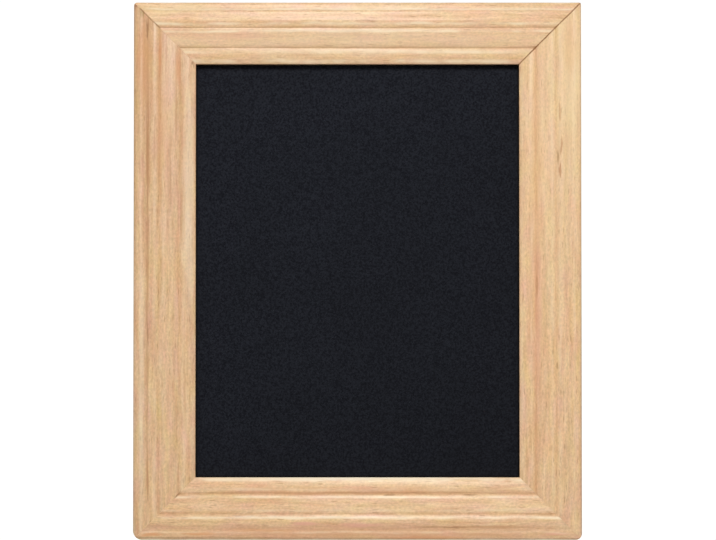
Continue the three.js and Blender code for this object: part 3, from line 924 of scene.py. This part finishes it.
def dome(node):
    """Spins the outline of a bumper about the line through its middle, square to the wall."""
    low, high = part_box(node)
    middle = (low + high) / 2
    radius = (high.x - low.x) / 2
    tall = high.y - low.y
    shape = bmesh.new()
    curve = [
        (radius * (1 - t * t / 2), BUMPER_RIM + (tall - BUMPER_RIM) * (1 - (1 - t) ** 2))
        for t in (step / DOME_STEPS for step in range(DOME_STEPS + 1))
    ]
    outline = [(0, 0), (radius, 0), *curve, (0, tall)]
    corners = [shape.verts.new((middle.x + out, low.y + up, middle.z)) for out, up in outline]
    for start, end in zip(corners, corners[1:]):
        shape.edges.new((start, end))
    bmesh.ops.spin(
        shape, geom=shape.verts[:] + shape.edges[:], cent=middle, axis=(0, 1, 0),
        angle=2 * math.pi, steps=BUMPER_SIDES, use_merge=True,
    )
    bmesh.ops.remove_doubles(shape, verts=shape.verts, dist=SEAM_WITHIN)
    bmesh.ops.recalc_face_normals(shape, faces=shape.faces)
    return shape


rubber = bumper_rubber()
for side in ("left", "right"):
    node = "wall_bumper_" + side
    bumper = link_piece("rubber_dome_" + side, dome(node), rubber, "frame", node)
    ease_edges(bumper, STAMPED_EDGE)


# The room. The board hangs in front of a white sweep, as in a product photograph: a pale floor
# well below it that curves up all round. The sweep shows brighter than it shines on the board.

FLOOR_DROP = 0.16
FLOOR_RADIUS = 3.6
SWEEP_RADIUS = 2.4
SWEEP_STEPS = 24
SWEEP_SIDES = 72
SWEEP_SEAM_WITHIN = 0.1 * MM
SWEEP_GLOW = 0.95
PAPER_ROUGHNESS = 0.9
PAPER_WHITE = (0.5, 0.497, 0.49, 1)
PAPER_GLOW = (1, 0.99, 0.975, 1)
ROOM_LIGHT = 0.2
ROOM_WHITE = (1, 0.995, 0.985, 1)


def sweep_shape():
    """Spins a floor line that curves up at its end about the vertical through the board."""
    floor = cad_low.z - FLOOR_DROP
    shape = bmesh.new()
    centre = shape.verts.new((0, 0, floor))
    rim = shape.verts.new((FLOOR_RADIUS, 0, floor))
    shape.edges.new((centre, rim))
    bmesh.ops.spin(
        shape, geom=[rim], cent=(FLOOR_RADIUS, 0, floor + SWEEP_RADIUS), axis=(0, -1, 0),
        angle=math.pi / 2, steps=SWEEP_STEPS,
    )
    bmesh.ops.spin(
        shape, geom=shape.verts[:] + shape.edges[:], cent=(0, 0, 0), axis=(0, 0, 1),
        angle=2 * math.pi, steps=SWEEP_SIDES, use_merge=True,
    )
    bmesh.ops.remove_doubles(shape, verts=shape.verts, dist=SWEEP_SEAM_WITHIN)
    bmesh.ops.recalc_face_normals(shape, faces=shape.faces)
    return shape


def white_paper():
    material, tree, surface = new_material("white_paper")
    seen = shader_node(tree, "ShaderNodeLightPath").outputs["Is Camera Ray"]
    plug(tree, surface, {
        "Base Color": PAPER_WHITE,
        "Roughness": PAPER_ROUGHNESS,
        "Specular IOR Level": 0,
        "Emission Color": PAPER_GLOW,
        "Emission Strength": sums(tree, "MULTIPLY", seen, SWEEP_GLOW),
    })
    return material


sweep = new_object("white_sweep", sweep_shape(), white_paper())

world = bpy.data.worlds.new("pale_room")
bpy.context.scene.world = world
world.use_nodes = True
background = world.node_tree.nodes["Background"].inputs
plug(world.node_tree, background, {"Color": ROOM_WHITE, "Strength": ROOM_LIGHT})


# The light. A soft box in front and high above shades the moulding as in the photograph, and a
# second one lights the back.

def soft_box(name, offset, size, power, colour):
    """A lamp turned towards the board, from its offset, its width and height, and its power."""
    light = bpy.data.lights.new(name, "AREA")
    light.shape = "RECTANGLE"
    light.size, light.size_y = size
    light.energy = power
    light.color = colour
    lamp = bpy.data.objects.new(name, light)
    lamp.location = board_middle + Vector(offset)
    lamp.rotation_euler = Vector(offset).to_track_quat("Z", "Y").to_euler()
    lamp.visible_camera = False
    bpy.context.scene.collection.objects.link(lamp)


soft_box("key_soft_box", (0.1, -2.7, 1.45), (0.8, 0.8), 70, (1, 0.985, 0.96))
soft_box("back_soft_box", (-0.8, 1.3, 1.1), (1.0, 0.8), 20, (1, 0.99, 0.98))


# The camera looks at the board through a long lens, tipped up a little, from so far away that
# the board spans the same part of the picture as in the photograph. The photograph's width and
# height, and the board's edges in it, are in pixels, and the lens and its sensor in millimetres.

PHOTO_WIDTH = 716
PHOTO_HEIGHT = 540
PHOTO_LEFT_EDGE = 133.5
PHOTO_RIGHT_EDGE = 581.5
PHOTO_TOP_EDGE = 2.2
PHOTO_BOTTOM_EDGE = 539
LENS = 200
SENSOR = 36
EDGE_IN_FRONT_OF_BACK = 11.6 * MM
LOOKING_UP = math.radians(1.9)

metres_per_pixel = (cad_high.x - cad_low.x) / (PHOTO_RIGHT_EDGE - PHOTO_LEFT_EDGE)
board_right_of_centre = (PHOTO_LEFT_EDGE + PHOTO_RIGHT_EDGE - PHOTO_WIDTH) / 2 * metres_per_pixel
board_below_centre = (PHOTO_TOP_EDGE + PHOTO_BOTTOM_EDGE - PHOTO_HEIGHT) / 2 * metres_per_pixel
camera_data = bpy.data.cameras.new("camera")
camera_data.lens = LENS
camera_data.sensor_width = SENSOR
camera = bpy.data.objects.new("camera", camera_data)
outline_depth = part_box("top_rail")[1].y - EDGE_IN_FRONT_OF_BACK
aimed_at = Vector((
    board_middle.x - board_right_of_centre, outline_depth, board_middle.z + board_below_centre,
))
standing_off = PHOTO_WIDTH * metres_per_pixel * LENS / SENSOR
upwards = Euler((math.pi / 2 + LOOKING_UP, 0, 0))
camera.location = aimed_at + upwards.to_matrix() @ Vector((0, 0, standing_off))
camera.rotation_euler = upwards
bpy.context.scene.collection.objects.link(camera)
bpy.context.scene.camera = camera
bpy.context.scene.view_settings.view_transform = "Standard"
